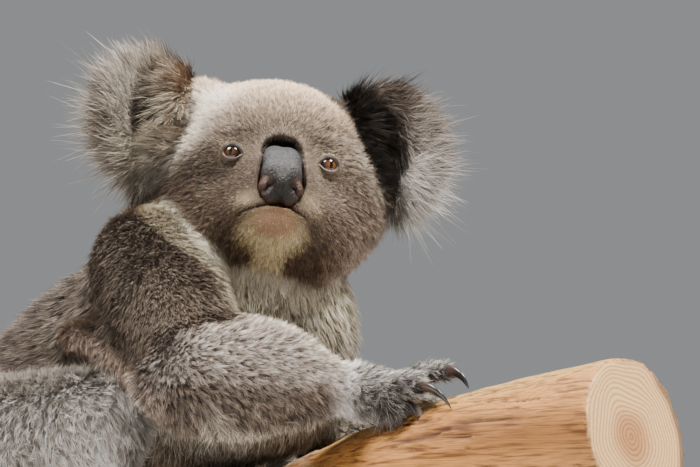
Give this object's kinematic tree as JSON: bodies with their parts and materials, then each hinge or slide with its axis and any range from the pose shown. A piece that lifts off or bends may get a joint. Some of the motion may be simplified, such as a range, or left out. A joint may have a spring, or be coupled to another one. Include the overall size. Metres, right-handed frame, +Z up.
{
  "type": "koala on a perch",
  "caption": "Life-size koala crouched on a cut length of eucalypt limb, head turned to its right, held on a flat base by two rods.",
  "frame": {"origin": "centre of the stand base's underside", "axes": "+Z up; the koala's body faces -Y and its left side is +X; its head is turned to its right"},
  "size_m": [0.3479, 0.6533, 0.5986],
  "materials": {
    "fur_grey": "soft matte grizzled fur",
    "fur_pale": "soft matte cream fur",
    "nose_skin": "pebbled bare skin with a soft sheen",
    "eye": "wet gloss",
    "claw": "satin horn",
    "eucalypt_wood": "weathered smooth wood with fine cracks",
    "stand_wood": "oiled dark wood",
    "stand_steel": "brushed"
  },
  "bodies": {
    "root": {"belly": "fur_grey", "chest": "fur_pale", "claw_left_foot_2": "claw", "claw_left_foot_3": "claw", "claw_left_foot_4": "claw", "claw_left_foot_5": "claw", "claw_left_hand_1": "claw", "claw_left_hand_2": "claw", "claw_left_hand_3": "claw", "claw_left_hand_4": "claw", "claw_left_hand_5": "claw", "claw_right_foot_2": "claw", "claw_right_foot_3": "claw", "claw_right_foot_4": "claw", "claw_right_foot_5": "claw", "claw_right_hand_1": "claw", "claw_right_hand_2": "claw", "claw_right_hand_3": "claw", "claw_right_hand_4": "claw", "claw_right_hand_5": "claw", "ear_left": "fur_grey", "ear_right": "fur_grey", "eye_left": "eye", "eye_right": "eye", "foot_left": "fur_grey", "foot_right": "fur_grey", "forearm_left": "fur_grey", "forearm_right": "fur_grey", "hand_left": "fur_grey", "hand_right": "fur_grey", "head": "fur_grey", "neck": "fur_grey", "nose": "nose_skin", "perch_limb": "eucalypt_wood", "rump": "fur_grey", "shank_left": "fur_grey", "shank_right": "fur_grey", "stand_base": "stand_wood", "stand_rod_front": "stand_steel", "stand_rod_rear": "stand_steel", "thigh_left": "fur_grey", "thigh_right": "fur_grey", "upper_arm_left": "fur_grey", "upper_arm_right": "fur_grey"}
  },
  "joints": []
}
